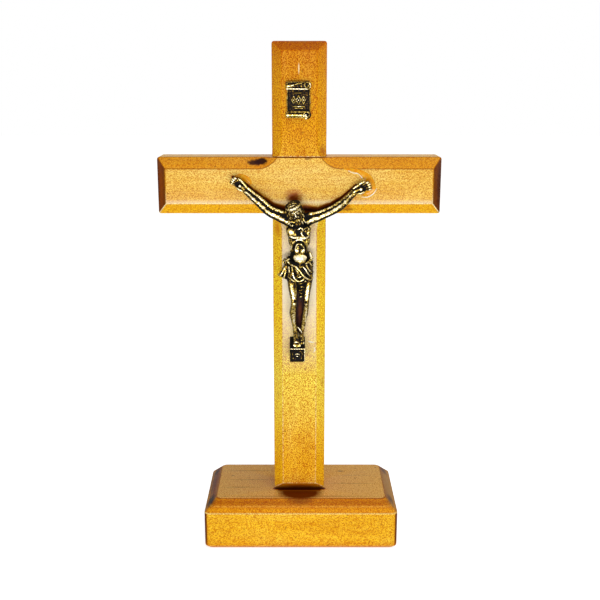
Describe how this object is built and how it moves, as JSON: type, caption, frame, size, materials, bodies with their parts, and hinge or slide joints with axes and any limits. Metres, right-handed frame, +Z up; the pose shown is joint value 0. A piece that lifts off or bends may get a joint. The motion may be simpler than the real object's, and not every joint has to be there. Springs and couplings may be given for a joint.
{
  "type": "standing table crucifix",
  "caption": "Wooden cross with routed chamfers on a chamfered block base, with a cast metal figure and a small scroll plaque glued to its front.",
  "frame": {"origin": "middle of the whole part's footprint, at the height of the table", "axes": "+Z up along the post; -Y is the front, towards the viewer; +X along the crossbar to the viewer's right"},
  "size_m": [0.12, 0.047, 0.22],
  "materials": {
    "varnished_wood_base": "clear gloss varnish over honey-coloured softwood",
    "varnished_wood_post": "clear gloss varnish over honey-coloured softwood",
    "varnished_wood_arm": "clear gloss varnish over honey-coloured softwood",
    "plated_steel": "zinc-plated wood screw",
    "antique_bronze_plaque": "antique bronze plate, blackened in the recesses",
    "antique_bronze_figure": "antique bronze plate, blackened in the recesses and polished on the high spots"
  },
  "bodies": {
    "root": {"base_block": "varnished_wood_base", "upright": "varnished_wood_post", "crossbar": "varnished_wood_arm", "base_screw": "plated_steel", "scroll_plaque": "antique_bronze_plaque", "corpus": "antique_bronze_figure"}
  },
  "joints": []
}
